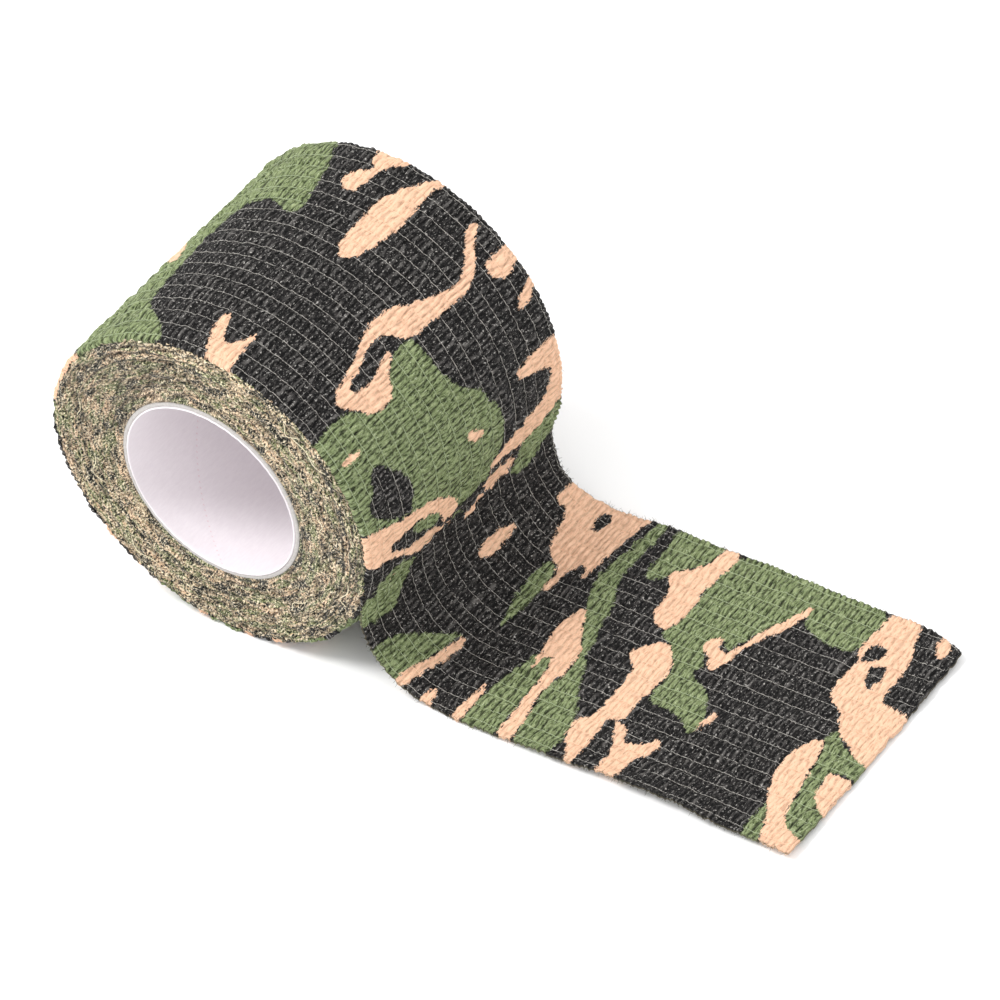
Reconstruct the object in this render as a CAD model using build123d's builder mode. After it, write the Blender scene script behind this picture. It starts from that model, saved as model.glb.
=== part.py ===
from build123d import *
import math
import os

# Self-clinging elastic wrap tape on a paper core, with its free end laid out flat.
# Origin at the centre of the core bore, +Y along the core axis,
# +X towards the free end of the tape, +Z up.

# Driving dimensions, in millimetres
tape_width = 50.0
roll_radius = 28.2
bore_radius = 15.0
ply_thickness = 0.5
free_end_x = 97.0

# The laminate: a crinkled web on each face and elastic threads between them
web_thickness = 0.2
thread_thickness = 0.2
thread_width = 0.25
thread_count = 18
thread_pitch = 2.75
laminate_thickness = 2 * web_thickness + thread_thickness

# The wound turns
wound_thickness = 0.3
wound_pitch = 0.41
wound_turns = 27
core_clearance = 0.06

# The bend where the tape comes off the roll and turns to lie flat
bend_back_radius = 12.4
roll_clearance = 0.25
fold_gap = 0.5

# Radii and stations worked out from the driving dimensions
core_radius = bore_radius + 2 * ply_thickness
wound_start_radius = core_radius + core_clearance
turn_back_radius = roll_radius - laminate_thickness
turn_thread_radius = turn_back_radius + web_thickness
turn_face_radius = turn_thread_radius + thread_thickness
bend_centre_reach = roll_radius + roll_clearance + bend_back_radius
bend_centre_z = bend_back_radius - roll_radius
peel_angle = math.degrees(math.asin(bend_centre_z / bend_centre_reach))
bend_centre_x = bend_centre_reach * math.cos(math.radians(peel_angle))
fold_x = bend_centre_x + fold_gap / 2
tail_start_x = fold_x + fold_gap / 2
table_z = -roll_radius
thread_stations = [
    (index - (thread_count - 1) / 2) * thread_pitch for index in range(thread_count)
]

os.makedirs("parts", exist_ok=True)

# White inner ply of the core
with BuildPart() as core_inner_ply:
    with BuildSketch(Plane.XZ):
        Circle(bore_radius + ply_thickness)
        Circle(bore_radius, mode=Mode.SUBTRACT)
    extrude(amount=tape_width / 2, both=True)
core_inner_ply.part.label = "core_inner_ply"
export_step(core_inner_ply.part, "parts/core_inner_ply.step")

# Grey board outer ply of the core
with BuildPart() as core_outer_ply:
    with BuildSketch(Plane.XZ):
        Circle(core_radius)
        Circle(bore_radius + ply_thickness, mode=Mode.SUBTRACT)
    extrude(amount=tape_width / 2, both=True)
core_outer_ply.part.label = "core_outer_ply"
export_step(core_outer_ply.part, "parts/core_outer_ply.step")

# Wound turns: one strip in a spiral of half circles about two centres.
# Sketch y points up on the XZ plane, so the upper halves run from +X to -X.
with BuildPart() as wound_tape:
    with BuildSketch(Plane.XZ):
        with BuildLine():
            for side in (0.0, wound_thickness):
                for turn in range(wound_turns):
                    upper_radius = wound_start_radius + side + turn * wound_pitch
                    lower_radius = upper_radius + wound_pitch / 2
                    CenterArc((0, 0), upper_radius, 0, 180)
                    CenterArc((wound_pitch / 2, 0), lower_radius, 180, 180)
            strip_end = wound_start_radius + wound_turns * wound_pitch
            Line((wound_start_radius, 0), (wound_start_radius + wound_thickness, 0))
            Line((strip_end, 0), (strip_end + wound_thickness, 0))
        make_face()
    extrude(amount=tape_width / 2, both=True)
wound_tape.part.label = "wound_tape"
export_step(wound_tape.part, "parts/wound_tape.step")

# Outer turn, back web
with BuildPart() as outer_turn_back_web:
    with BuildSketch(Plane.XZ):
        Circle(turn_thread_radius)
        Circle(turn_back_radius, mode=Mode.SUBTRACT)
    extrude(amount=tape_width / 2, both=True)
outer_turn_back_web.part.label = "outer_turn_back_web"
export_step(outer_turn_back_web.part, "parts/outer_turn_back_web.step")

# Outer turn, elastic threads
with BuildPart() as outer_turn_threads:
    for station in thread_stations:
        with BuildSketch(Plane.XZ.offset(station)):
            Circle(turn_face_radius)
            Circle(turn_thread_radius, mode=Mode.SUBTRACT)
        extrude(amount=thread_width / 2, both=True)
outer_turn_threads.part.label = "outer_turn_threads"
export_step(outer_turn_threads.part, "parts/outer_turn_threads.step")

# Outer turn, printed face web
with BuildPart() as outer_turn_face_web:
    with BuildSketch(Plane.XZ):
        Circle(roll_radius)
        Circle(turn_face_radius, mode=Mode.SUBTRACT)
    extrude(amount=tape_width / 2, both=True)
outer_turn_face_web.part.label = "outer_turn_face_web"
export_step(outer_turn_face_web.part, "parts/outer_turn_face_web.step")


def bend_layer(plane, outer_radius, thickness):
    """One layer of the bend as a face, from the peel line to the table."""
    start = 180 + peel_angle
    sweep = 270 - start
    centre = (bend_centre_x, bend_centre_z)
    with BuildSketch(plane) as layer:
        with BuildLine():
            outer_arc = CenterArc(centre, outer_radius, start, sweep)
            inner_arc = CenterArc(centre, outer_radius - thickness, start, sweep)
            Line(outer_arc @ 0, inner_arc @ 0)
            Line(outer_arc @ 1, inner_arc @ 1)
        make_face()
    return layer.sketch


# Bend, back web
bend_thread_radius = bend_back_radius - web_thickness
bend_face_radius = bend_thread_radius - thread_thickness
with BuildPart() as bend_back_web:
    extrude(
        bend_layer(Plane.XZ, bend_back_radius, web_thickness),
        amount=tape_width / 2,
        both=True,
    )
bend_back_web.part.label = "bend_back_web"
export_step(bend_back_web.part, "parts/bend_back_web.step")

# Bend, elastic threads
with BuildPart() as bend_threads:
    for station in thread_stations:
        extrude(
            bend_layer(Plane.XZ.offset(station), bend_thread_radius, thread_thickness),
            amount=thread_width / 2,
            both=True,
        )
bend_threads.part.label = "bend_threads"
export_step(bend_threads.part, "parts/bend_threads.step")

# Bend, printed face web
with BuildPart() as bend_face_web:
    extrude(
        bend_layer(Plane.XZ, bend_face_radius, web_thickness),
        amount=tape_width / 2,
        both=True,
    )
bend_face_web.part.label = "bend_face_web"
export_step(bend_face_web.part, "parts/bend_face_web.step")

# Tail, back web
tail_length = free_end_x - tail_start_x
tail_centre_x = (free_end_x + tail_start_x) / 2
with BuildPart() as tail_back_web:
    with BuildSketch(Plane.XY.offset(table_z)):
        with Locations((tail_centre_x, 0)):
            Rectangle(tail_length, tape_width)
    extrude(amount=web_thickness)
tail_back_web.part.label = "tail_back_web"
export_step(tail_back_web.part, "parts/tail_back_web.step")

# Tail, elastic threads
with BuildPart() as tail_threads:
    with BuildSketch(Plane.XY.offset(table_z + web_thickness)):
        with Locations((tail_centre_x, 0)):
            with GridLocations(tail_length, thread_pitch, 1, thread_count):
                Rectangle(tail_length, thread_width)
    extrude(amount=thread_thickness)
tail_threads.part.label = "tail_threads"
export_step(tail_threads.part, "parts/tail_threads.step")

# Tail, printed face web
with BuildPart() as tail_face_web:
    with BuildSketch(Plane.XY.offset(table_z + web_thickness + thread_thickness)):
        with Locations((tail_centre_x, 0)):
            Rectangle(tail_length, tape_width)
    extrude(amount=web_thickness)
tail_face_web.part.label = "tail_face_web"
export_step(tail_face_web.part, "parts/tail_face_web.step")
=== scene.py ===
import math

import bmesh
import bpy
import numpy as np
from mathutils import Matrix, Vector


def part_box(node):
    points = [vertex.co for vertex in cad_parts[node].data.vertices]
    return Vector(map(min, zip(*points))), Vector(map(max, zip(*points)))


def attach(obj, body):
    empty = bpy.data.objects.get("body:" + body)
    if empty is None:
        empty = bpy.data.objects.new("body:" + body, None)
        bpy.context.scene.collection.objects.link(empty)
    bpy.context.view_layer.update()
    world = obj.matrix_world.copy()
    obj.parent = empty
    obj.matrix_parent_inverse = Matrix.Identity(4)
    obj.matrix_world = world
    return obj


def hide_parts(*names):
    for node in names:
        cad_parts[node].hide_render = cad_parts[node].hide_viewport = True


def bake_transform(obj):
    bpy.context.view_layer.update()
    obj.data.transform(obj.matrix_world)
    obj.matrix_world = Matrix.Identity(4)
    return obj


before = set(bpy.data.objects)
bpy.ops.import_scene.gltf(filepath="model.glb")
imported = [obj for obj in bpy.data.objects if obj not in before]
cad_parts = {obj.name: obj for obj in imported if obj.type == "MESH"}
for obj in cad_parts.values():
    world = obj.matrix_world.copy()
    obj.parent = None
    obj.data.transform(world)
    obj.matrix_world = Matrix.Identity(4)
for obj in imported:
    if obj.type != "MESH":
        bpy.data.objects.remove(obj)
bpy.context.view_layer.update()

MM = 0.001

# ---------------------------------------------------------------- sizes, in millimetres
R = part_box("outer_turn_face_web")[1].x / MM
BORE = 15.0
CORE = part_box("core_outer_ply")[1].x / MM
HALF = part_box("tail_face_web")[1].y / MM
END_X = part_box("tail_face_web")[1].x / MM
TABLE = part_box("tail_back_web")[0].z / MM
THICK = 0.6                      # two webs and the threads between them
TOP = TABLE + THICK
BEND_R = 12.2                    # radius of the printed face where the tape leaves the roll
BEND_CZ = TOP + BEND_R
PEEL = math.asin(BEND_CZ / (R + BEND_R))
BEND_CX = (R + BEND_R) * math.cos(PEEL)
BEND_LEN = BEND_R * (math.pi / 2 - PEEL)
TAIL_END = BEND_LEN + END_X - BEND_CX
TURN_LEN = 2 * math.pi * R
THREAD_COUNT = 18
THREAD_PITCH = 2.75
THREADS = [(i - (THREAD_COUNT - 1) / 2) * THREAD_PITCH for i in range(THREAD_COUNT)]
THREAD_R = 0.047
RIDGE_PITCH = 1.02               # furrow to furrow along the tape
PITCH = 0.41                     # from one wound turn to the next
MID_R = 22.0                     # a radius halfway out, to turn angles into lengths
REPEAT = 172.0                   # length of tape after which the print repeats
ON_ROLL = 4.0                    # how much of the free length lies on the roll
END_REACH, END_SKEW = 1.8, 0.95  # the cut end reaches past the nominal one, askew
TAPE_EDGE = 24.6                 # from the middle of the free length to its edge
BEND_SHIFT = 0.65                # how far the print moves towards the free end over the bend
FIELD_REACH = 1.5                # the print's fields stop growing this far from an outline
SWELL = 1.9                      # how far the near side swells at its upper rim
SWELL_FROM = 8.0                 # the printed face takes the swell up from here to its near edge
SEAM_LEAD, SEAM_START = 74.0, 2.6  # the core seam: length of one helix turn, angle at mid width


# ---------------------------------------------------------------- noise
CELLS = 257                      # lattice cells each way before the noise repeats


def lattice(seed):
    return np.random.default_rng(seed).random((CELLS, CELLS))


def noise2(x, y, sx, sy, seed):
    """Smooth value noise, from -1 to 1, with cells sx by sy."""
    g = lattice(seed)
    x = np.asarray(x, float) / sx + 57.3
    y = np.asarray(y, float) / sy + 91.7
    ix, iy = np.floor(x).astype(int), np.floor(y).astype(int)
    fx, fy = x - ix, y - iy
    fx, fy = fx * fx * (3 - 2 * fx), fy * fy * (3 - 2 * fy)
    a, b = g[ix % CELLS, iy % CELLS], g[(ix + 1) % CELLS, iy % CELLS]
    c, d = g[ix % CELLS, (iy + 1) % CELLS], g[(ix + 1) % CELLS, (iy + 1) % CELLS]
    return 2 * ((a * (1 - fx) + b * fx) * (1 - fy) + (c * (1 - fx) + d * fx) * fy) - 1


# ---------------------------------------------------------------- camouflage, drawn one by one
# Points are (s, v) in millimetres of tape: s runs along the tape from the peel line, positive to the
# free end, and v runs across it.
GREEN = [
    [(-59, -25), (-62, -21), (-66, -18.5), (-69.5, -16), (-70.5, -8), (-71.5, 0), (-71.5, 6), (-69.5, 8.5),
     (-65.5, 9.5), (-62, 7.5), (-59, 6.5), (-59, 10.5), (-60.5, 15), (-61.5, 19), (-63.5, 22), (-64, 26),
     (-90, 26), (-88, 18), (-90, 10), (-91, 2), (-95, -4), (-95, -11), (-88, -18), (-82, -21), (-77, -26)],
    [(-30.5, -26), (-31, -22), (-31, -18), (-30, -15), (-28, -13.5), (-27, -10.5), (-28, -8), (-30.5, -6.5),
     (-32, -4), (-32.2, 0.5), (-29, 1), (-25, 1), (-22, 2.5), (-20, 4), (-18, 7), (-15.5, 7), (-14, 9),
     (-9, 9.5), (-6, 9.5), (-3, 6.5), (0, 5), (0, -2), (-4, -3), (-7, -6), (-9, -10), (-11, -17),
     (-13, -22), (-14.5, -26)],
    [(-7, -14), (-5.5, -13), (-3.5, -10.5), (-2.5, -7.5), (-3.5, -6), (-5.5, -7.5), (-7, -11)],
    [(9, -26), (15, -26), (15.2, -21), (16.5, -17), (17.2, -12), (17.5, -10.5), (15, -13), (12.5, -16),
     (10, -20)],
    [(0, 14), (2.5, 14.5), (4, 12), (5, 13), (6, 17), (4.5, 21), (3, 26), (-1.5, 26), (-2, 23), (-0.5, 20)],
    [(1, -26), (5, -26), (6.5, -20), (7, -17), (4, -14), (1.5, -11), (0, -14), (-2, -16), (-1, -20)],
    [(20.5, -6), (21, -3), (21.3, 2), (21.2, 6), (20.5, 9), (19, 9.5), (18.5, 7), (18.7, 3), (19, 0),
     (20, -3)],
    [(27, -26), (33.5, -26), (32.8, -20), (32.5, -14), (31.8, -8), (30.5, -6.5), (29.5, -9), (28.5, -7),
     (28.2, -10), (27, -15), (26.8, -20)],
    [(36.5, -26), (42.5, -26), (43, -21), (42, -17), (41, -14.5), (39, -11.5), (37.8, -9), (36.7, -6),
     (35.5, -5), (35, -1.5), (33.5, 1.5), (33, 5), (32, 8), (30, 11), (30, 17), (30.5, 22), (30, 26),
     (28.5, 26), (28, 20), (27, 14), (27, 10), (28, 6.5), (29.3, 4), (31, 0.5), (33.5, -3), (34.8, -6),
     (34.9, -10), (34, -13), (35, -17)],
    [(35.7, 15), (37, 17.5), (40, 20), (41, 26), (31.5, 26), (32.8, 19), (32.5, 14.5), (34, 13.5)],
    [(48.5, -8), (53, -8), (56, -9), (58.7, -11.5), (58.7, -7), (57.5, -5), (55.5, -2), (53, -1), (51, 0),
     (52, 2), (50.5, 4), (49.5, 6), (51, 8.5), (53, 6), (54, 8), (55, 12), (57, 16), (59.5, 18.5),
     (60, 16), (62, 15.5), (65, 14.5), (69.8, 14.7), (70, 18), (70.3, 26), (43.5, 26), (43, 19),
     (42.5, 15), (43.5, 12), (43, 7), (42, 4.5), (44.8, 4), (46, 2), (48.2, 0), (48.5, -4)],
    [(77, -26), (80.5, -26), (79, -20.5), (76.2, -16.5), (76.5, -19)],
    [(89, -22), (89, -17), (82, -13), (81, -8), (82.5, -7), (89, -8), (89, -4), (81, -3), (78.5, -1.5),
     (77, 1), (76.3, -2), (77.5, -4), (78.5, -9), (79.5, -14), (80.5, -18.5), (82, -22)],
]
TAN = [
    [(-86, 4), (-80, -2), (-75, -5.5), (-76, -1), (-82, 4), (-85, 6)],
    [(-88, -20), (-81, -23), (-76, -26), (-84, -26), (-90, -22)],
    [(-47, -26), (-47.5, -22), (-48, -19), (-48.2, -16), (-49, -18.5), (-49.8, -20.5), (-51.5, -20.5),
     (-52.5, -18), (-53.5, -15.3), (-54.5, -16.5), (-54, -20), (-52.5, -22.5), (-50.5, -26)],
    [(-47.8, 2.3), (-49.3, 4.5), (-49.8, 8), (-49.8, 12), (-50, 16), (-48.5, 19), (-47, 22), (-45.5, 24.5),
     (-44, 26), (-45, 21), (-44.7, 17), (-44.3, 13), (-45, 10), (-45.3, 7), (-46, 4.5)],
    [(-55.5, 14.3), (-57.3, 16), (-57.3, 18.3), (-55.5, 19), (-54, 20.5), (-56, 21.5), (-56.3, 26),
     (-49.5, 26), (-51, 23), (-52.5, 21.5), (-53.6, 20), (-53.5, 17.5), (-54, 15)],
    [(-33.5, -17), (-34.5, -13.5), (-35.5, -9), (-37, -6), (-37.7, -2), (-37, 1.5), (-35.5, 4),
     (-34.5, 7), (-33.3, 10), (-32.5, 12.5), (-33.5, 15.5), (-35.5, 18), (-37.3, 20), (-37.7, 22),
     (-36.5, 23), (-36, 21), (-34, 19), (-31.8, 16.5), (-30.8, 13), (-31, 10), (-31.3, 6), (-31.5, 3),
     (-32, 0), (-33.5, -1.5), (-35, -2.5), (-35.5, -6), (-34, -9.5), (-33.3, -13.5), (-31.8, -13.5),
     (-31.3, -9.5), (-32.5, -6), (-33, -4), (-32, -4), (-30.5, -6.5), (-28, -8), (-27, -10.5),
     (-28, -13.5), (-30, -15), (-31.5, -17)],
    [(-32, 18.7), (-30, 18.3), (-28.5, 19.5), (-28, 21.5), (-29, 23.5), (-29, 26), (-31.8, 26), (-32, 22)],
    [(-23.5, 19), (-22.7, 20), (-23.3, 22.5), (-24.5, 26), (-26, 26), (-25.7, 23), (-24.7, 21)],
    [(-25.7, -23), (-24.8, -21.5), (-25, -18), (-26, -20)],
    [(-14, -26), (-12.7, -21.5), (-11, -17), (-10, -13), (-9, -9.5), (-7, -6), (-5, -3.5), (-2.5, -2),
     (0, -1.5), (0, -5), (-3, -6), (-5.5, -7.5), (-7, -11), (-7.5, -15), (-7.5, -18.5), (-6.5, -19),
     (-5, -16.5), (-3, -14), (-2.5, -10), (-1, -6.5), (1, -5), (1, -11), (-2.5, -15), (-5, -19), (-8, -26)],
    [(-13, 1), (-11.5, 1.8), (-10.7, 4), (-11.5, 5), (-12.7, 3.5), (-13.7, 2)],
    [(-15.5, 13.8), (-14, 14.2), (-13, 17), (-12, 20), (-10.5, 21.5), (-8.5, 21), (-6.5, 19), (-5.7, 16),
     (-5.5, 13), (-4.5, 9.5), (-3, 6.5), (-1.5, 5.5), (-2, 8.5), (-1.5, 11), (0, 14), (0, 19), (-1.5, 22),
     (-2, 26), (-15.5, 26), (-16, 19)],
    [(0.3, 5), (2.2, 6.2), (3.5, 6.5), (3.3, 10), (3, 13.5), (1.5, 13), (0, 10.5)],
    [(3, 1), (4.2, 0.3), (4, 3), (3, 5.5), (2.3, 5)],
    [(11, 0.5), (12.2, 2), (12.5, 6), (11.7, 10), (10.7, 8), (10, 5), (10.2, 2)],
    [(14.8, -26), (16.3, -26), (16.8, -22), (17.5, -18.5), (18.7, -14.5), (18.6, -12), (18.2, -10),
     (17.2, -12.5), (16.8, -16), (15.7, -19.5), (15, -22)],
    [(19.3, -26), (21.3, -26), (20.8, -21.3), (19.7, -21)],
    [(25, -26), (27, -26), (26.7, -19), (26, -15.7), (25.3, -19)],
    [(33.7, -26), (36.5, -26), (35.5, -20), (34.3, -16), (34, -13), (34.8, -10), (34.5, -5), (33, -2),
     (31.2, 0.5), (30.2, 3), (29, 4.3), (28.3, 1.5), (27.7, -1), (28.3, -4), (29, -7), (29.7, -11),
     (30.2, -8), (31.3, -6.5), (32, -10), (32.5, -15), (33, -20)],
    [(46, -26), (47, -26), (47, -21), (46.3, -17.5), (46, -13.5), (48.5, -13.5), (47.8, -9), (48.3, -4),
     (48.2, 0), (46, 2), (44.8, 4), (42.5, 2.5), (41, 1), (40.5, -1), (43, -3), (43.5, -6), (43.7, -10),
     (43.8, -14.5), (42, -15.5), (42, -18), (43, -20.5), (45, -22.5)],
    [(51, -26), (55, -26), (54.5, -19.5), (56.3, -17), (56.5, -15), (55, -13.5), (54, -16), (51.5, -17),
     (50.5, -16), (49.8, -14), (46.8, -13.3), (49, -16.5), (51, -20)],
    [(42.2, 5), (43.2, 8), (43.5, 12), (42.5, 15), (43, 19), (43.5, 22), (43, 26), (41, 26), (40.3, 21),
     (38.5, 18.5), (36.8, 17.5), (35.7, 15.5), (37.5, 14), (38.5, 11.5), (38.3, 8.5), (40, 6.5)],
    [(21.4, 3.5), (22.2, 4.5), (22.3, 9.5), (24, 11.8), (25.3, 8), (25.6, 13), (26, 17), (26.5, 21),
     (27.5, 26), (13, 26), (13.3, 20.5), (13, 17.8), (15.5, 18.8), (16.5, 15), (17.3, 11.5), (19, 9.7),
     (21, 9.2)],
    [(52.5, 1.5), (54, 2), (54.5, 5), (55.2, 8.5), (56.5, 11.5), (58.3, 14.5), (59.2, 17.5), (59.7, 20),
     (58, 18.5), (57, 16), (55.5, 13.5), (54.7, 10.5), (54, 7), (53, 5.5), (51.7, 6.5), (51, 8.7),
     (49.5, 7.5), (49.2, 5.5), (51, 4.3), (52, 3.5)],
    [(58.7, -11), (59, -9), (60, -6.5), (59.5, -5.2), (58.8, -6), (58.7, -8.5)],
    [(80.5, -26), (90, -26), (90, -22.5), (82.5, -21), (80.3, -18), (79.5, -14), (78.7, -10), (77.8, -6.5),
     (77, -2.5), (75, -3), (74, -6), (73.5, -9), (74.5, -13), (76, -16.5), (78.5, -20)],
    [(89, -18), (89, -9), (81, -7), (81.5, -11.5), (82.5, -14)],
    [(89, -5), (89, 6.5), (81, 8), (79, 8), (78.8, 14), (78, 18), (76.5, 21), (75, 26), (70.3, 26),
     (70, 20), (70, 15.5), (71.5, 14), (71, 10), (71.5, 5.5), (75, 4), (77, 0), (80, -1.5), (82, -3.5)],
    [(79.5, 22), (81.5, 19), (82.5, 21), (81.5, 23.5), (80, 24.5)],
]
BLACK = [
    [(-17, -22), (-14.5, -21), (-11, -16), (-10.5, -14), (-12, -12.5), (-14.5, -12), (-17, -12.8),
     (-19.5, -15), (-22, -17), (-21.5, -19), (-18.5, -20)],
    [(20.2, 18.2), (21.5, 18.5), (21.8, 21.5), (20.8, 22.5), (19.5, 21), (20, 19.5)],
    [(76.3, 9), (76.5, 12), (76, 15), (74.5, 14.5), (73.5, 13), (74.7, 10.5)],
    [(71.5, 14), (73, 14.5), (74.3, 16.5), (73.5, 18.3), (71.2, 17.7), (71, 15.5)],
]


def rounded(points):
    """Two rounds of corner cutting."""
    p = np.array(points, float)
    for _ in range(2):
        q = np.roll(p, -1, axis=0)
        p = np.stack([0.75 * p + 0.25 * q, 0.25 * p + 0.75 * q], 1).reshape(-1, 2)
    return p


def blob_field(blobs, s, v):
    """Signed distance in mm to the union of the blobs, positive inside, held to +-FIELD_REACH."""
    out = np.full(s.shape, -FIELD_REACH)
    for points in blobs:
        p = rounded(points)
        lo, hi = p.min(0) - FIELD_REACH, p.max(0) + FIELD_REACH
        near = np.nonzero((s > lo[0]) & (s < hi[0]) & (v > lo[1]) & (v < hi[1]))[0]
        for part in np.array_split(near, max(1, len(near) // 20000)):
            if not len(part):
                continue
            x, y = s[part][:, None], v[part][:, None]
            ax, ay = p[:, 0][None], p[:, 1][None]
            bx, by = np.roll(p[:, 0], -1)[None], np.roll(p[:, 1], -1)[None]
            dx, dy = bx - ax, by - ay
            t = np.clip(((x - ax) * dx + (y - ay) * dy) / (dx * dx + dy * dy + 1e-9), 0, 1)
            d = np.hypot(x - ax - t * dx, y - ay - t * dy).min(1)
            cross = ((ay > y) != (by > y)) & (x < dx * (y - ay) / (dy + 1e-12) + ax)
            inside = cross.sum(1) % 2 == 1
            signed = np.clip(np.where(inside, d, -d), -FIELD_REACH, FIELD_REACH)
            out[part] = np.maximum(out[part], signed)
    return out


def camo(s, v):
    """The tan and green fields of the print at tape coordinates, repeating along the tape."""
    shape = np.shape(s)
    s, v = np.ravel(s).astype(float), np.ravel(v).astype(float)
    s = s - BEND_SHIFT * np.clip(s / BEND_LEN, 0, 1)
    tan, green = np.full(s.shape, -FIELD_REACH), np.full(s.shape, -FIELD_REACH)
    for shift in (0.0, REPEAT):
        black = blob_field(BLACK, s + shift, v)
        tan = np.maximum(tan, np.minimum(blob_field(TAN, s + shift, v), -black))
        green = np.maximum(green, np.minimum(blob_field(GREEN, s + shift, v), -black))
    return tan.reshape(shape), green.reshape(shape)


# ---------------------------------------------------------------- crinkle
def pinch_at(v):
    """1 midway between two threads, near 0 on a thread."""
    u = (v - THREADS[0]) / THREAD_PITCH
    return np.sin(np.pi * np.clip(u - np.floor(u), 0.02, 0.98)) ** 0.55


def ridges(s, v):
    """Ridge shape from 0 to 1 and ridge size, wandering along and across the tape."""
    k = np.floor((v - THREADS[0]) / THREAD_PITCH)
    drift = 2.2 * noise2(s, v, 5.0, 9.0, 11) + 2.0 * noise2(s, v, 1.7, 3.0, 12)
    own = 2.8 * noise2(s, k * 7.7, 2.6, 1.0, 13)
    phase = 2 * np.pi * s / RIDGE_PITCH + drift + own
    size = np.clip(0.68 + 0.55 * noise2(s, v, 1.3, 1.9, 14), 0.12, 1.2)
    return np.abs(np.sin(phase / 2)) ** 0.75, size


def shade_height(s, v):
    """The crinkle's height for colouring: every furrow between two ridges shows, however low they are."""
    ridge, size = ridges(s, v)
    return 0.40 * ridge * (0.75 + 0.25 * size) + 0.09 * noise2(s, v, 0.55, 0.6, 15)


def crinkle(s, v):
    """Height of the puckered web over its threads, in mm."""
    pinch = pinch_at(v)
    ridge, size = ridges(s, v)
    lumps = 0.09 * noise2(s, v, 0.55, 0.6, 15)
    return 0.52 * size * ridge * (0.3 + 0.7 * pinch) + lumps - 0.1 * (1 - pinch)


# ---------------------------------------------------------------- mesh help
def grid_mesh(name, co, closed_u=False, closed_v=False, flip=False):
    """A grid of points (n, m, 3) in mm as a smooth mesh object."""
    n, m = co.shape[:2]
    idx = np.arange(n * m).reshape(n, m)
    a = np.concatenate([idx, idx[:1]], 0) if closed_u else idx
    a = np.concatenate([a, a[:, :1]], 1) if closed_v else a
    quads = np.stack([a[:-1, :-1], a[1:, :-1], a[1:, 1:], a[:-1, 1:]], -1).reshape(-1, 4)
    if flip:
        quads = quads[:, ::-1]
    return raw_mesh(name, co.reshape(-1, 3), quads)


def raw_mesh(name, co, quads):
    me = bpy.data.meshes.new(name)
    me.vertices.add(len(co))
    me.vertices.foreach_set("co", (np.asarray(co, float) * MM).ravel())
    k = quads.shape[1]
    me.loops.add(quads.size)
    me.loops.foreach_set("vertex_index", quads.ravel().astype(np.int32))
    me.polygons.add(len(quads))
    me.polygons.foreach_set("loop_start", np.arange(0, quads.size, k, dtype=np.int32))
    me.update(calc_edges=True)
    me.validate()
    me.shade_smooth()
    o = bpy.data.objects.new(name, me)
    bpy.context.scene.collection.objects.link(o)
    return o


def attribute(o, name, values):
    a = o.data.attributes.new(name, "FLOAT", "POINT")
    a.data.foreach_set("value", np.ravel(values).astype(np.float32))


def tape_coordinates(o, s, v):
    """Tape coordinates in mm as a UV map."""
    uv = np.stack([np.ravel(s), np.ravel(v)], -1)
    layer = o.data.uv_layers.new(name="tape")
    loops = np.empty(len(o.data.loops), np.int32)
    o.data.loops.foreach_get("vertex_index", loops)
    layer.data.foreach_set("uv", uv[loops].astype(np.float32).ravel())


def print_fields(o, s, v):
    """The print's tan and green fields, as point attributes for the shaders."""
    tan, green = camo(s, v)
    attribute(o, "tan_field", tan)
    attribute(o, "green_field", green)


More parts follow.
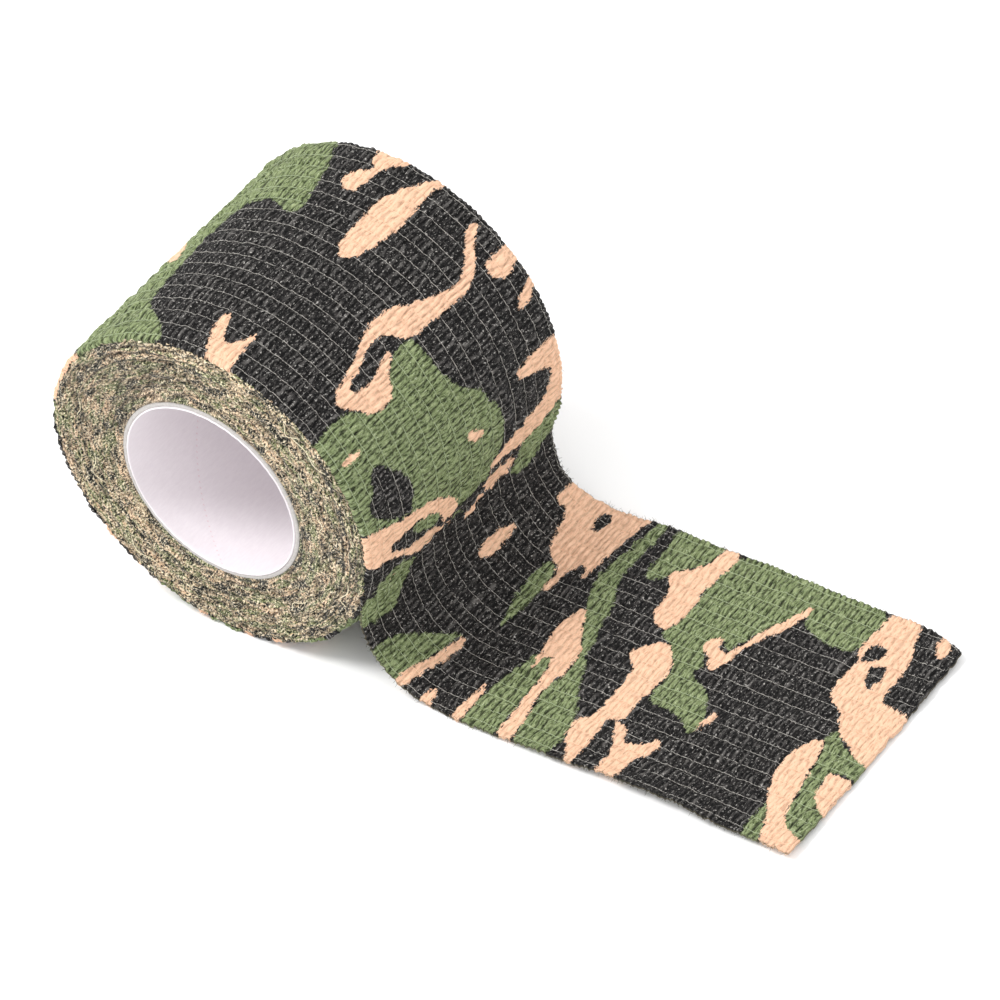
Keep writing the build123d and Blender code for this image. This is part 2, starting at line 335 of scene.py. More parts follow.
# ---------------------------------------------------------------- materials
class Shader:
    """A node material built up by small calls; sockets go in and come out."""

    def __init__(self, name):
        self.material = bpy.data.materials.new(name)
        self.material.use_nodes = True
        self.nodes, self.links = self.material.node_tree.nodes, self.material.node_tree.links
        self.nodes.clear()

    def feed(self, socket, value):
        if isinstance(value, (int, float, tuple)):
            socket.default_value = value
        else:
            self.links.new(value, socket)

    def tape(self):
        n = self.nodes.new("ShaderNodeUVMap")
        n.uv_map = "tape"
        return n.outputs["UV"]

    def position(self):
        return self.nodes.new("ShaderNodeTexCoord").outputs["Object"]

    def field(self, name):
        n = self.nodes.new("ShaderNodeAttribute")
        n.attribute_name = name
        return n.outputs["Fac"]

    def math(self, op, a, b):
        n = self.nodes.new("ShaderNodeMath")
        n.operation = op
        self.feed(n.inputs[0], a)
        self.feed(n.inputs[1], b)
        return n.outputs[0]

    def add(self, a, b):
        return self.math("ADD", a, b)

    def times(self, a, b):
        return self.math("MULTIPLY", a, b)

    def mix(self, fac, a, b, blend="MIX"):
        n = self.nodes.new("ShaderNodeMix")
        n.data_type = "RGBA"
        n.blend_type = blend
        self.feed(n.inputs[0], fac)
        self.feed(n.inputs[6], a)
        self.feed(n.inputs[7], b)
        return n.outputs[2]

    def stretch(self, vector, x, y):
        n = self.nodes.new("ShaderNodeMapping")
        n.inputs["Scale"].default_value = (x, y, 1)
        self.feed(n.inputs["Vector"], vector)
        return n.outputs["Vector"]

    def noise(self, vector, scale, detail=2.0, rough=0.5):
        n = self.nodes.new("ShaderNodeTexNoise")
        n.inputs["Scale"].default_value = scale
        n.inputs["Detail"].default_value = detail
        n.inputs["Roughness"].default_value = rough
        self.feed(n.inputs["Vector"], vector)
        return n.outputs["Fac"]

    def grain(self, vector, x, y, detail=2.0, rough=0.5):
        """Noise with x by y cells to a millimetre of tape."""
        return self.noise(self.stretch(vector, x, y), 1.0, detail, rough)

    def step(self, value, low, high):
        """0 at low, 1 at high, eased between them."""
        n = self.nodes.new("ShaderNodeMapRange")
        n.interpolation_type = "SMOOTHSTEP"
        n.inputs["From Min"].default_value = low
        n.inputs["From Max"].default_value = high
        self.feed(n.inputs["Value"], value)
        return n.outputs["Result"]

    def ramp(self, value, low, high, first, last):
        n = self.nodes.new("ShaderNodeMapRange")
        for key, number in (("From Min", low), ("From Max", high), ("To Min", first), ("To Max", last)):
            n.inputs[key].default_value = number
        self.feed(n.inputs["Value"], value)
        return n.outputs["Result"]

    def bump(self, height, strength, distance):
        n = self.nodes.new("ShaderNodeBump")
        n.inputs["Strength"].default_value = strength
        n.inputs["Distance"].default_value = distance
        self.feed(n.inputs["Height"], height)
        return n.outputs["Normal"]

    def surface(self, **sockets):
        """Closes the material with one principled shader; keywords name its sockets."""
        p = self.nodes.new("ShaderNodeBsdfPrincipled")
        for key, value in sockets.items():
            self.feed(p.inputs[key.replace("_", " ")], value)
        out = self.nodes.new("ShaderNodeOutputMaterial")
        self.links.new(p.outputs["BSDF"], out.inputs["Surface"])
        return self.material


def srgb(r, g, b):
    def f(c):
        c /= 255
        return c / 12.92 if c <= 0.04045 else ((c + 0.055) / 1.055) ** 2.4

    return (f(r), f(g), f(b), 1)


WHITE = (1, 1, 1, 1)
BLACK_C, GREEN_C, TAN_C = srgb(13, 12, 13), srgb(114, 129, 84), srgb(244, 206, 176)


def camo_material(name, ragged, fade, fleck_and_glint_strength):
    """Printed non-woven web: ragged camouflage, fibres, light specks on the dark parts that are part pale
    fibre and part painted glint, painted shade in the furrows and between fibres, and painted highlights on
    the crests.
    """
    sh = Shader(name)
    uv = sh.tape()
    tan, green, high = sh.field("tan_field"), sh.field("green_field"), sh.field("height")
    wobble = sh.times(sh.math("SUBTRACT", sh.grain(uv, 1.4, 0.7, 3), 0.5), ragged * 3.6)
    fray = sh.times(sh.math("SUBTRACT", sh.grain(uv, 4.5, 2.0, 2), 0.5), ragged * 3.0)
    shift = sh.add(wobble, fray)
    is_tan = sh.step(sh.add(tan, shift), -0.10, 0.14)
    is_green = sh.step(sh.add(green, shift), -0.12, 0.16)

    broad = sh.grain(uv, 0.5, 0.35, 3)
    fibre = sh.grain(uv, 3.4, 0.9, 4, 0.7)
    fine = sh.grain(uv, 3.6, 2.0, 3, 0.75)
    # Light specks: part pale fibre, part painted glint.
    pale_flecks_and_glints = sh.step(fine, 0.57, 0.68)
    # Mask for painted shade between the fibres.
    fibre_gap_shade_mask = sh.step(fibre, 0.50, 0.36)
    # Mask for a painted highlight on the crinkle's crests.
    painted_crest_highlight = sh.step(high, 0.30, 0.46)

    dark = sh.mix(sh.step(fibre, 0.45, 0.66), BLACK_C, srgb(58, 55, 54))
    # Painted highlight: the dark print turns light grey on the crests.
    dark = sh.mix(sh.times(painted_crest_highlight, 0.7), dark, srgb(112, 109, 106))
    # Pale fibre specks and painted glints lighten the black, and the green and tan less.
    dark = sh.mix(sh.times(pale_flecks_and_glints, fleck_and_glint_strength), dark, srgb(216, 212, 206))
    leaf = sh.mix(sh.step(fibre, 0.3, 0.75), srgb(70, 86, 46), srgb(176, 186, 142))
    leaf = sh.mix(sh.times(broad, 0.7), leaf, GREEN_C)
    leaf = sh.mix(sh.times(pale_flecks_and_glints, fleck_and_glint_strength * 0.7), leaf, srgb(214, 222, 190))
    sand = sh.mix(sh.step(fibre, 0.3, 0.75), srgb(234, 188, 156), TAN_C)
    sand = sh.mix(sh.times(pale_flecks_and_glints, fleck_and_glint_strength * 0.4), sand, srgb(250, 222, 196))
    colour = sh.mix(is_tan, sh.mix(is_green, dark, leaf), sand)

    # Painted shade: the furrows between crinkle ridges are darkened in the colour, less on tan.
    furrow = sh.mix(sh.step(high, 0.08, 0.27), (0.10, 0.095, 0.09, 1), WHITE)
    furrow = sh.mix(sh.times(is_tan, 0.66), furrow, (1, 0.97, 0.95, 1))
    colour = sh.mix(0.85, colour, furrow, "MULTIPLY")
    # Painted shade between the fibres, weaker on tan.
    cut = sh.mix(fibre_gap_shade_mask, WHITE, (0.16, 0.155, 0.15, 1))
    cut = sh.mix(sh.times(is_tan, 0.7), cut, WHITE)
    colour = sh.mix(0.9, colour, cut, "MULTIPLY")
    colour = sh.mix(fade, colour, srgb(150, 140, 116))
    return sh.surface(
        Base_Color=colour,
        Roughness=sh.ramp(fine, 0.35, 0.65, 0.9, 0.5),
        Specular_IOR_Level=0.18,
        Normal=sh.bump(sh.add(fibre, fine), 0.9, 0.00025),
    )


def side_material():
    """Cut edges of the wound turns: camouflage patches broken into fuzzy specks."""
    sh = Shader("wound_side")
    uv = sh.tape()
    tan, green = sh.field("tan_field"), sh.field("green_field")
    high, painted_turn_gap_shade = sh.field("height"), sh.field("painted_turn_gap_shade")
    patch = sh.grain(uv, 0.16, 0.38, 3, 0.55)
    other = sh.noise(sh.stretch(uv, 0.16, 0.36), 1.37, 3, 0.55)
    streak = sh.grain(uv, 0.8, 1.9, 3, 0.6)
    coarse = sh.grain(uv, 1.7, 1.9, 4, 0.75)
    fine = sh.grain(uv, 2.8, 3.2, 3, 0.75)

    warm = sh.add(sh.add(sh.times(tan, 0.06), sh.times(patch, 1.6)), sh.times(streak, 0.6))
    cool = sh.add(sh.times(green, 0.05), other)
    murk = sh.add(coarse, sh.times(other, -2.0))
    murk = sh.add(murk, sh.times(streak, 0.22))
    murk = sh.add(murk, sh.times(warm, -0.22))

    olive = sh.mix(sh.step(cool, 0.46, 0.56), srgb(204, 180, 146), srgb(138, 144, 96))
    colour = sh.mix(sh.step(warm, 1.10, 1.24), olive, srgb(230, 196, 160))
    colour = sh.mix(sh.step(murk, -0.54, -0.44), colour, srgb(44, 45, 34))
    colour = sh.mix(sh.step(fine, 0.53, 0.60), colour, srgb(248, 234, 206))
    colour = sh.mix(sh.step(fine, 0.505, 0.44), colour, srgb(10, 10, 8))
    # Painted shade: dark lines between some wound turns.
    colour = sh.mix(sh.times(painted_turn_gap_shade, 0.95), colour, srgb(24, 23, 19))
    shade = sh.mix(sh.step(high, -0.25, 0.15), (0.25, 0.24, 0.23, 1), WHITE)
    return sh.surface(
        Base_Color=sh.mix(0.8, colour, shade, "MULTIPLY"),
        Roughness=0.9,
        Specular_IOR_Level=0.2,
        Sheen_Weight=0.2,
        Normal=sh.bump(fine, 1.0, 0.0004),
    )


def paper_material(name, light, dark, seam):
    """Core paper: satin white or grey board with fine fibre, and the white one's seam."""
    sh = Shader(name)
    co = sh.position()
    fibres = sh.noise(sh.stretch(co, 1, 0.25), 2600, 4, 0.65)
    cloud = sh.noise(co, 160, 3)
    colour = sh.mix(sh.step(fibres, 0.25, 0.75), dark, light)
    colour = sh.mix(sh.times(cloud, 0.25), colour, dark)
    if seam:
        line_here = sh.step(sh.field("seam"), 0.26, 0.08)
        colour = sh.mix(sh.times(line_here, 0.55), colour, srgb(214, 172, 178))
    return sh.surface(Base_Color=colour, Roughness=0.5, Normal=sh.bump(fibres, 0.12, 0.00005))


def thread_material():
    """Elastic thread: pale where it crosses black, close to the web's colour elsewhere."""
    sh = Shader("elastic_thread")
    mottle = sh.grain(sh.tape(), 3.0, 3.0, 3, 0.7)
    pale = sh.mix(sh.step(mottle, 0.35, 0.65), srgb(92, 88, 84), srgb(202, 198, 190))
    colour = sh.mix(sh.step(sh.field("green_field"), -0.1, 0.15), pale, srgb(164, 176, 140))
    colour = sh.mix(sh.step(sh.field("tan_field"), -0.1, 0.15), colour, srgb(232, 200, 170))
    return sh.surface(Base_Color=colour, Roughness=0.55)


def plain_fibre(name, light, dark):
    """A loose fibre, lighter and darker along its length."""
    sh = Shader(name)
    mottle = sh.step(sh.noise(sh.position(), 900, 3), 0.3, 0.7)
    return sh.surface(Base_Color=sh.mix(mottle, dark, light), Roughness=0.7)


web = camo_material("printed_web", 0.42, 0.0, 0.9)
back = camo_material("back_web", 0.42, 0.25, 0.4)
side = side_material()
thread = thread_material()
white_paper = paper_material("core_white", srgb(226, 220, 223), srgb(219, 212, 216), True)
grey_board = paper_material("core_board", srgb(186, 182, 180), srgb(158, 154, 150), False)


# ---------------------------------------------------------------- the tape's shape
def line(s):
    """Printed face of the tape past the peel line: position (x, z) and normal (nx, nz)."""
    s = np.asarray(s, float)
    roll_a = PEEL - s / R
    on_roll = s < 0
    a = math.pi + PEEL + s / BEND_R
    bend = (s >= 0) & (s < BEND_LEN)
    x = np.where(bend, BEND_CX + BEND_R * np.cos(a), BEND_CX + s - BEND_LEN)
    x = np.where(on_roll, R * np.cos(roll_a), x)
    z = np.where(on_roll, R * np.sin(roll_a), np.where(bend, BEND_CZ + BEND_R * np.sin(a), TOP))
    nx = np.where(on_roll, np.cos(roll_a), np.where(bend, -np.cos(a), 0))
    nz = np.where(on_roll, np.sin(roll_a), np.where(bend, -np.sin(a), 1))
    return x, z, nx, nz


def bump_at(x, at, width):
    return np.exp(-(((x - at) / width) ** 2))


def edges(s):
    """Near and far edge of the free length across the tape, in mm."""
    calm = np.clip(s / 4, 0, 1)
    near = -TAPE_EDGE + 0.25 * noise2(s, 0 * s, 6, 1, 21) + 0.10 * noise2(s, 0 * s, 0.8, 1, 22)
    far = TAPE_EDGE + 0.25 * noise2(s, 0 * s, 7, 1, 23) + 0.10 * noise2(s, 0 * s, 0.9, 1, 24)
    far = far - calm * (2.2 * bump_at(s, 11, 10) + 0.5 * bump_at(s, 45, 20))
    near = near + calm * 0.5 * bump_at(s, 16, 10)
    far = far - 2.5 * np.clip((s - (TAIL_END - 9)) / 9, 0, 1) ** 1.5
    return near, far


def lift(s, v):
    """How far the free length stands off the table, in mm."""
    free = np.clip((s - BEND_LEN + 4) / 8, 0, 1)
    w = 0.18 + 0.18 * noise2(s, v, 17, 14, 31)
    w = w + 1.5 * bump_at(s, 61, 13) * np.clip((-v - 15) / 10, 0, 1) ** 1.6
    w = w + 0.5 * bump_at(s, 40, 9) * np.clip((-v - 18) / 7, 0, 1) ** 1.5
    w = w + 0.6 * bump_at(s, 52, 16) * np.clip((v - 17) / 8, 0, 1) ** 1.6
    corner = np.hypot((s - TAIL_END) / 7.0, (v - 25) / 9.0)
    w = w + 0.6 * np.exp(-corner**2)
    near_corner = np.hypot((s - TAIL_END) / 6.0, (v + 25) / 8.0)
    w = w + 0.5 * np.exp(-near_corner**2)
    return free * w


def tail_point(s, t, depth):
    """Points of the free length and their tape coordinates; t runs from -1 to 1 across, depth goes down."""
    near, far = edges(s)
    v = near + (far - near) * (t + 1) / 2
    end_trim = END_REACH - END_SKEW * (v / 25)
    end_trim = end_trim + 0.15 * noise2(v, 0 * v, 3.2, 1, 33) + 0.14 * noise2(v, 0 * v, 0.6, 1, 34)
    grow = np.clip((s - (TAIL_END - 30)) / 30, 0, 1)
    p = s + grow * end_trim
    x, z, nx, nz = line(s)
    x = np.where(s > BEND_LEN, x + grow * end_trim, x)
    sunk = np.clip((0.4 - s) / 4.4, 0, 1) * -0.5
    taper = np.clip(s / 3.6, 0.02, 1) ** 1.5
    off = crinkle(p, v) + sunk - depth * taper + lift(s, v)
    return np.stack([x + nx * off, v, z + nz * off], -1), p, v


def free_sheet(name, low, high, material, flip_height):
    """One web of the free length, closed, between two depths below the face."""
    along, across = np.arange(-ON_ROLL, TAIL_END + 0.01, 0.215), np.linspace(-1, 1, 120)
    s_grid, t_grid = np.meshgrid(along, across, indexing="ij")
    layers = []
    for depth in (low, high):
        co, s, v = tail_point(s_grid, t_grid, depth)
        h = shade_height(s, v)
        layers.append((co, s, v, 0.42 - h if flip_height else h))
    co, s, v, h = (np.concatenate([top, bottom[:, ::-1]], 1) for top, bottom in zip(*layers))
    o = grid_mesh(name, co, closed_v=True, flip=True)
    tape_coordinates(o, s, v)
    print_fields(o, s, v)
    attribute(o, "height", h)
    o.data.materials.append(material)
    cap_ends(o, len(along), 2 * len(across))
    return o


def cap_ends(o, n, m):
    """Closes the first and last row of a tube grid with quads between its two faces."""
    bm = bmesh.new()
    bm.from_mesh(o.data)
    bm.verts.ensure_lookup_table()
    half = m // 2
    for row in (0, n - 1):
        for i in range(half - 1):
            a, b = row * m + i, row * m + i + 1
            c, d = row * m + m - 2 - i, row * m + m - 1 - i
            quad = [bm.verts[a], bm.verts[b], bm.verts[c], bm.verts[d]]
            if row:
                quad.reverse()
            try:
                bm.faces.new(quad)
            except ValueError:
                pass
    bm.to_mesh(o.data)
    bm.free()
    o.data.shade_smooth()


def blend_tail(o):
    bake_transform(o)


face_sheet = free_sheet("free_face_web", 0.0, 0.26, web, False)
back_sheet = free_sheet("free_back_web", 0.30, 0.58, back, True)
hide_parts("bend_face_web", "tail_face_web")
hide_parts("bend_back_web", "tail_back_web")
blend_tail(face_sheet)
blend_tail(back_sheet)


# ---------------------------------------------------------------- the roll
CORNER = 1.35
CORNER_R = R - 0.1 - CORNER
CORNER_Y = HALF - 0.3 - CORNER


def rim_drop(v):
    """How far the outer turn rounds off towards each side face."""
    over = np.clip(np.abs(v) - CORNER_Y, 0, CORNER * 0.98)
    return CORNER - np.sqrt(CORNER**2 - over**2)


def swell(theta, reach):
    """How far the near side stands proud at its far upper rim, where reach is 1; it is 0 at the core."""
    turn = np.mod(theta - 2.65 + math.pi, 2 * math.pi) - math.pi
    return SWELL * np.exp(-(turn**2)) * np.clip(reach, 0, 1) ** 1.5


def face_swell(theta, v):
    """The swell as the printed face takes it up towards its near edge."""
    return swell(theta, (-v - SWELL_FROM) / (HALF - SWELL_FROM))


def roll_web():
    """Printed web of the outermost turn, rounded and tucked under at both rims."""
    n, v_end = 800, CORNER_Y + 0.72 * CORNER
    turned, v = np.meshgrid(np.arange(n) * 2 * math.pi / n, np.linspace(-v_end, v_end, 118), indexing="ij")
    s, theta = -turned * R, PEEL + turned
    edge_wave = 0.12 * noise2(s, 0 * s, 1.2, 1, 41) + 0.12 * noise2(s, v, 0.5, 60, 42)
    radius = R + crinkle(s, v) - 0.12 - rim_drop(v + edge_wave * np.sign(v))
    y = v + edge_wave * (np.abs(v) / v_end) ** 8 - face_swell(theta, v)
    co = np.stack([radius * np.cos(theta), y, radius * np.sin(theta)], -1)
    tuck = np.array([1 - 0.5 / R, 1, 1 - 0.5 / R])
    co = np.concatenate([co[:, :1] * tuck + (0, 0.05, 0), co, co[:, -1:] * tuck - (0, 0.05, 0)], 1)
    s, v = (np.concatenate([f[:, :1], f, f[:, -1:]], 1) for f in (s, v))
    o = grid_mesh("roll_face_web", co, closed_u=True, flip=True)
    tape_coordinates(o, s, v)
    print_fields(o, s, v)
    attribute(o, "height", shade_height(s, v))
    o.data.materials.append(web)
    return o


roll_sheet = roll_web()
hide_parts("outer_turn_face_web")
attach(roll_sheet, "roll")


def side_fall(rad):
    """How far the side face rounds back towards the rim, with a slight dish of its own."""
    over = np.clip(rad - CORNER_R, 0, CORNER * 0.98)
    return CORNER - np.sqrt(CORNER**2 - over**2) + 0.25 * np.clip((rad - 22.5) / 5, 0, 1) ** 2


def side_face(sign):
    """Cut edges of the wound turns on one side: a fuzzy spiral, rounded at its rim."""
    n, r_axis = 560, np.linspace(CORE + 0.02, CORNER_R + 0.74 * CORNER, 96)
    ang, rad = np.meshgrid(np.arange(n) * 2 * math.pi / n - math.pi / 2, r_axis, indexing="ij")
    turn = (rad - CORE) / PITCH - ang / (2 * math.pi)
    ridge = np.abs(np.sin(np.pi * turn + 1.6 * noise2(ang * MID_R, rad, 5, 1.2, 51))) ** 0.7
    lump = noise2(ang * MID_R, rad, 2.2, 0.9, 52)
    grit = noise2(ang * rad, rad, 0.5, 0.4, 53)
    tall = 0.09 * ridge + 0.24 * lump + 0.34 * grit
    ease = np.clip((rad - CORE) / 0.5, 0, 1)
    y = sign * (HALF - 0.38 - side_fall(rad) + tall * ease)
    y = y - swell(ang, (rad - CORE) / (R - CORE)) * (sign < 0)
    points = np.stack([rad * np.cos(ang), y, rad * np.sin(ang)], -1)
    o = grid_mesh("wound_side_near" if sign < 0 else "wound_side_far", points, closed_u=True, flip=sign > 0)
    tape_coordinates(o, ang * MID_R, rad + 40 * (sign > 0))
    wound = np.floor(turn)
    along = -(ang + 2 * math.pi * wound) * (rad * 0.5 + CORE * 0.5)
    along = -REPEAT + np.mod(along, REPEAT)
    print_fields(o, along, 21.0 * sign + 2 * noise2(ang * 9, wound * 3.3, 1, 1, 54))
    attribute(o, "height", tall)
    # Painted shade between wound turns: a dark line at every third turn, shown here and there.
    third = np.mod(turn + 0.25 * noise2(ang * MID_R, rad, 7, 2, 55), 3.0)
    shown = np.clip(0.3 + 1.8 * noise2(ang * MID_R, rad, 9, 1.5, 56), 0, 1)
    attribute(o, "painted_turn_gap_shade", np.exp(-(((third - 1.5) / 0.36) ** 2)) * shown)
    o.data.materials.append(side)
    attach(o, "roll")
    return o


near_side = side_face(-1)
side_face(1)
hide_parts("wound_tape", "outer_turn_back_web")


# ---------------------------------------------------------------- elastic threads
def tube_rows(centre, radius, sides):
    """Thin tube about a line of points (n, 3), as (points, quads)."""
    n = len(centre)
    d = np.gradient(centre, axis=0)
    d /= np.linalg.norm(d, axis=1)[:, None] + 1e-12
    ref = np.where(np.abs(d[:, 1:2]) > 0.9, np.array([[1.0, 0, 0]]), np.array([[0, 1.0, 0]]))
    u = np.cross(d, ref)
    u /= np.linalg.norm(u, axis=1)[:, None] + 1e-12
    w = np.cross(d, u)
    k = np.arange(sides) * 2 * math.pi / sides
    radius = np.broadcast_to(radius, (n,))
    ring = centre[:, None] + radius[:, None, None] * (
        np.cos(k)[None, :, None] * u[:, None] + np.sin(k)[None, :, None] * w[:, None]
    )
    idx = np.arange(n * sides).reshape(n, sides)
    a, b = idx[:-1], idx[1:]
    quads = np.stack([a, np.roll(a, -1, 1), np.roll(b, -1, 1), b], -1).reshape(-1, 4)
    return ring.reshape(-1, 3), quads


def gather(name, tubes):
    points, quads, base = [], [], 0
    for p, q in tubes:
        points.append(p)
        quads.append(q + base)
        base += len(p)
    return raw_mesh(name, np.concatenate(points), np.concatenate(quads))


def thread_on_roll(i, v0):
    """Thread i round the outermost turn: its points and tape coordinates."""
    s = -np.arange(0, TURN_LEN, 0.42)
    v = v0 + 0.12 * noise2(s, 0 * s, 4, 1, 60 + i)
    up = 0.10 + 0.13 * noise2(s, 0 * s, 0.8, 1, 90 + i)
    r = R - 0.12 + crinkle(s, v) - rim_drop(v) + up
    r[-1] = r[0]
    theta = PEEL - s / R
    y = v - face_swell(theta, v)
    return np.stack([r * np.cos(theta), y, r * np.sin(theta)], -1), s, v


def thread_on_free_length(i, v0):
    """Thread i along the bend and the tail: its points and tape coordinates."""
    s = np.arange(-2.0, TAIL_END - 0.3, 0.4)
    v = v0 + 0.12 * noise2(s, 0 * s, 4, 1, 160 + i)
    near, far = edges(s)
    t = np.clip((v - near) / (far - near) * 2 - 1, -0.985, 0.985)
    up = 0.10 + 0.13 * noise2(s, 0 * s, 0.8, 1, 190 + i)
    return tail_point(s, t, -up)


def thread_piece(name, thread_path):
    """All the threads of one stretch of tape, as one piece."""
    sides = 4
    paths = [thread_path(i, v0) for i, v0 in enumerate(THREADS)]
    o = gather(name, [tube_rows(centre, THREAD_R, sides) for centre, _, _ in paths])
    s, v = (np.concatenate([np.repeat(path[k], sides) for path in paths]) for k in (1, 2))
    tape_coordinates(o, s, v)
    print_fields(o, s, v)
    o.data.materials.append(thread)
    return o


roll_threads = thread_piece("roll_threads", thread_on_roll)
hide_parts("outer_turn_threads")
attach(roll_threads, "roll")

free_threads = thread_piece("free_threads", thread_on_free_length)
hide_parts("bend_threads", "tail_threads")
blend_tail(free_threads)


# ---------------------------------------------------------------- loose fuzz
def fuzz(name, roots, outward, length, thick, material, seed):
    """Short bent fibres standing off a surface."""
    g = np.random.default_rng(seed)
    n = 5
    tubes = []
    for root, out in zip(roots, outward):
        d = out + g.normal(0, 0.7, 3)
        d /= np.linalg.norm(d)
        turn = g.normal(0, 0.55, 3)
        step_len = length * g.uniform(0.4, 1.3) / (n - 1)
        line_points = [np.array(root, float)]
        for _ in range(n - 1):
            line_points.append(line_points[-1] + d * step_len)
            d = d + turn
            d /= np.linalg.norm(d)
        tubes.append(tube_rows(np.array(line_points), thick * np.linspace(1, 0.5, n), 3))
    o = gather(name, tubes)
    o.data.materials.append(material)
    return o


tan_fibre = plain_fibre("fibre_tan", srgb(238, 220, 190), srgb(196, 172, 138))
dark_fibre = plain_fibre("fibre_dark", srgb(89, 88, 66), srgb(40, 39, 36))
for sign, tag in ((-1, "near"), (1, "far")):
    for material, colour, count in ((tan_fibre, "tan", 1500), (dark_fibre, "dark", 900)):
        g = np.random.default_rng(200 + count + sign)
        rr = np.sqrt(g.uniform((CORE + 0.4) ** 2, (R - 0.7) ** 2, count))
        aa = g.uniform(0, 2 * math.pi, count)
        yy = sign * (HALF - 0.5 - side_fall(rr)) - swell(aa, (rr - CORE) / (R - CORE)) * (sign < 0)
        roots = np.stack([rr * np.cos(aa), yy, rr * np.sin(aa)], -1)
        away = np.stack([0.3 * np.cos(aa), np.full(count, float(sign)), 0.3 * np.sin(aa)], -1)
        o = fuzz(f"side_fuzz_{tag}_{colour}", roots, away, 1.0, 0.035, material, 300 + count + sign)
        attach(o, "roll")


def loose_ends():
    """A few threads that have come loose on the near side."""
    g = np.random.default_rng(17)
    curls = []
    for _ in range(9):
        start, r_start = g.uniform(0, 2 * math.pi), g.uniform(20, 27.0)
        t = np.linspace(0, 1, 18)
        ang = start + t * g.uniform(0.12, 0.3)
        rad = r_start + g.uniform(-1.0, 1.0) * t + 0.5 * np.sin(t * 7 + g.uniform(0, 6))
        y = -HALF - 0.1 - 0.9 * np.sin(t * math.pi) * g.uniform(0.3, 1) + side_fall(rad)
        curls.append(tube_rows(np.stack([rad * np.cos(ang), y, rad * np.sin(ang)], -1), 0.06, 5))
    return gather("loose_threads", curls)


loose = loose_ends()
loose.data.materials.append(plain_fibre("loose_thread", srgb(236, 226, 196), srgb(206, 196, 166)))
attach(loose, "roll")


def free_edge_fuzz(count):
    """Fibres along the two cut edges of the free length."""
    g = np.random.default_rng(23)
    s = g.uniform(3, TAIL_END, count)
    t = np.where(g.random(count) < 0.5, -1.0, 1.0)
    roots, _, v = tail_point(s, t, 0.3)
    away = np.stack([np.zeros(count), np.sign(v), np.full(count, 0.5)], -1)
    return fuzz("free_edge_fuzz", roots, away, 0.8, 0.03, dark_fibre, 24)


edge_fuzz = free_edge_fuzz(700)
blend_tail(edge_fuzz)


# ---------------------------------------------------------------- the core
def core_tube(name, r_in, r_out, half, material, seam):
    """Tube with eased ends as one closed turned surface, with a helical seam inside if asked."""
    ease = min(0.14, (r_out - r_in) * 0.35)
    inner_y = np.linspace(-half + ease, half - ease, 90)
    profile = [(r_in, y) for y in inner_y]
    profile += [(r_in + ease * 0.3, half - ease * 0.3), (r_in + ease, half), (r_out - ease, half)]
    profile += [(r_out, half - ease)] + [(r_out, y) for y in np.linspace(half - ease, -half + ease, 12)[1:-1]]
    profile += [(r_out, -half + ease), (r_out - ease, -half), (r_in + ease, -half)]
    profile += [(r_in + ease * 0.3, -half + ease * 0.3)]
    profile = np.array(profile)
    n = 512 if seam else 256
    ang, k = np.meshgrid(np.arange(n) * 2 * math.pi / n, np.arange(len(profile)), indexing="ij")
    rad, y = profile[k, 0].copy(), profile[k, 1].copy()
    inside = rad < r_in + 1e-6
    helix = np.mod(ang + y / SEAM_LEAD * 2 * math.pi - SEAM_START + math.pi, 2 * math.pi) - math.pi
    if seam:
        groove = np.exp(-((helix * r_in / 0.24) ** 2)) * inside
        rad = rad + 0.05 * groove + 0.02 * noise2(ang * 15, y, 6, 9, 71)
        rad = np.where(inside, np.maximum(rad, r_in), rad)
    y = y + np.where(np.abs(y) > half - 0.2, 0.05 * noise2(ang * 15, rad, 0.6, 5, 72), 0)
    o = grid_mesh(name, np.stack([rad * np.cos(ang), y, rad * np.sin(ang)], -1), closed_u=True, closed_v=True)
    if seam:
        attribute(o, "seam", np.where(inside, np.abs(helix) * r_in, 5.0))
    o.data.materials.append(material)
    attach(o, "roll")
    return o


inner_ply = core_tube("core_inner_tube", BORE, BORE + 0.27, HALF - 0.1, white_paper, True)
outer_ply = core_tube("core_outer_tube", BORE + 0.29, CORE - 0.02, HALF - 0.18, grey_board, False)
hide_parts("core_inner_ply")
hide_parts("core_outer_ply")


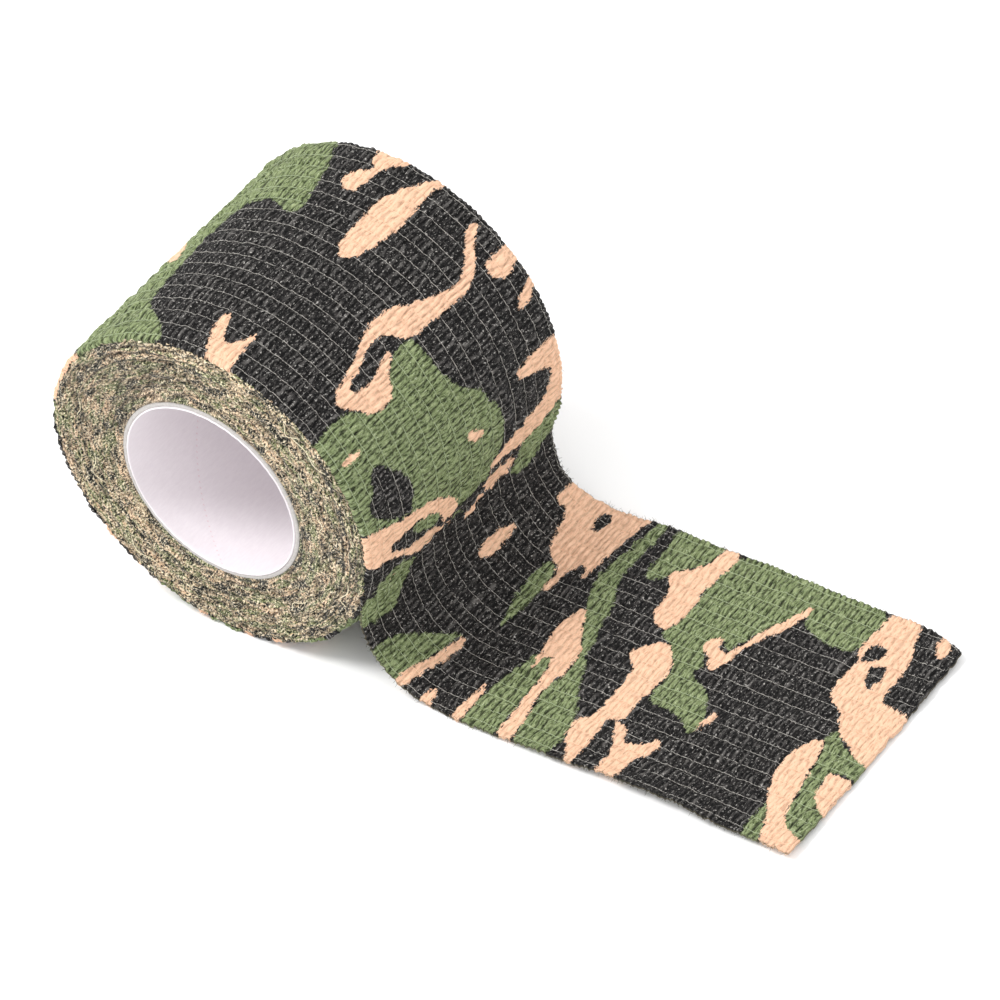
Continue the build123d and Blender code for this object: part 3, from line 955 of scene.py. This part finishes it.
# ---------------------------------------------------------------- stage, light and camera
def plane(name, size, z, colour):
    """A matt square on the ground, for the stage only."""
    me = bpy.data.meshes.new(name)
    h = size / 2
    me.from_pydata([(-h, -h, z), (h, -h, z), (h, h, z), (-h, h, z)], [], [(0, 1, 2, 3)])
    o = bpy.data.objects.new(name, me)
    bpy.context.scene.collection.objects.link(o)
    me.materials.append(Shader(name).surface(Base_Color=colour, Roughness=0.9, Specular_IOR_Level=0.0))
    return o


plane("floor", 6.0, (TABLE - 0.05) * MM, (0.965, 0.965, 0.965, 1))

world = bpy.data.worlds.new("studio")
bpy.context.scene.world = world
world.use_nodes = True
world.node_tree.nodes["Background"].inputs["Color"].default_value = (1, 1, 1, 1)
world.node_tree.nodes["Background"].inputs["Strength"].default_value = 1.14


def area_light(name, location, size, power):
    """A round light aimed at the middle of the part."""
    data = bpy.data.lights.new(name, "AREA")
    data.shape = "DISK"
    data.size = size
    data.energy = power
    o = bpy.data.objects.new(name, data)
    o.location = location
    o.rotation_mode = "QUATERNION"
    o.rotation_quaternion = (Vector((0.03, 0, 0)) - Vector(location)).to_track_quat("-Z", "Y")
    bpy.context.scene.collection.objects.link(o)


area_light("key", (-0.36, -0.36, 0.80), 0.36, 5.6)
area_light("fill", (0.7, -0.5, 0.6), 0.7, 1.6)

camera_data = bpy.data.cameras.new("camera")
camera = bpy.data.objects.new("camera", camera_data)
bpy.context.scene.collection.objects.link(camera)
azimuth, elevation, tilt = math.radians(41.71), math.radians(41.55), math.radians(-8.84)
distance, shift_right, shift_up = 1.5431, 0.0278, -0.0159
right_dir = Vector((math.cos(azimuth), math.sin(azimuth), 0))
level_dir = Vector((math.sin(azimuth), -math.cos(azimuth), 0))
back_dir = level_dir * math.cos(elevation) + Vector((0, 0, math.sin(elevation)))
up_dir = back_dir.cross(right_dir)
right_t = math.cos(tilt) * right_dir + math.sin(tilt) * up_dir
up_t = -math.sin(tilt) * right_dir + math.cos(tilt) * up_dir
eye = back_dir * distance + right_t * shift_right + up_t * shift_up
camera.matrix_world = Matrix((
    (right_t.x, up_t.x, back_dir.x, eye.x),
    (right_t.y, up_t.y, back_dir.y, eye.y),
    (right_t.z, up_t.z, back_dir.z, eye.z),
    (0, 0, 0, 1),
))
camera_data.sensor_width = 36
camera_data.lens = 377.6
camera_data.clip_start = 0.1
camera_data.clip_end = 20
bpy.context.scene.camera = camera
bpy.context.scene.view_settings.view_transform = "Standard"
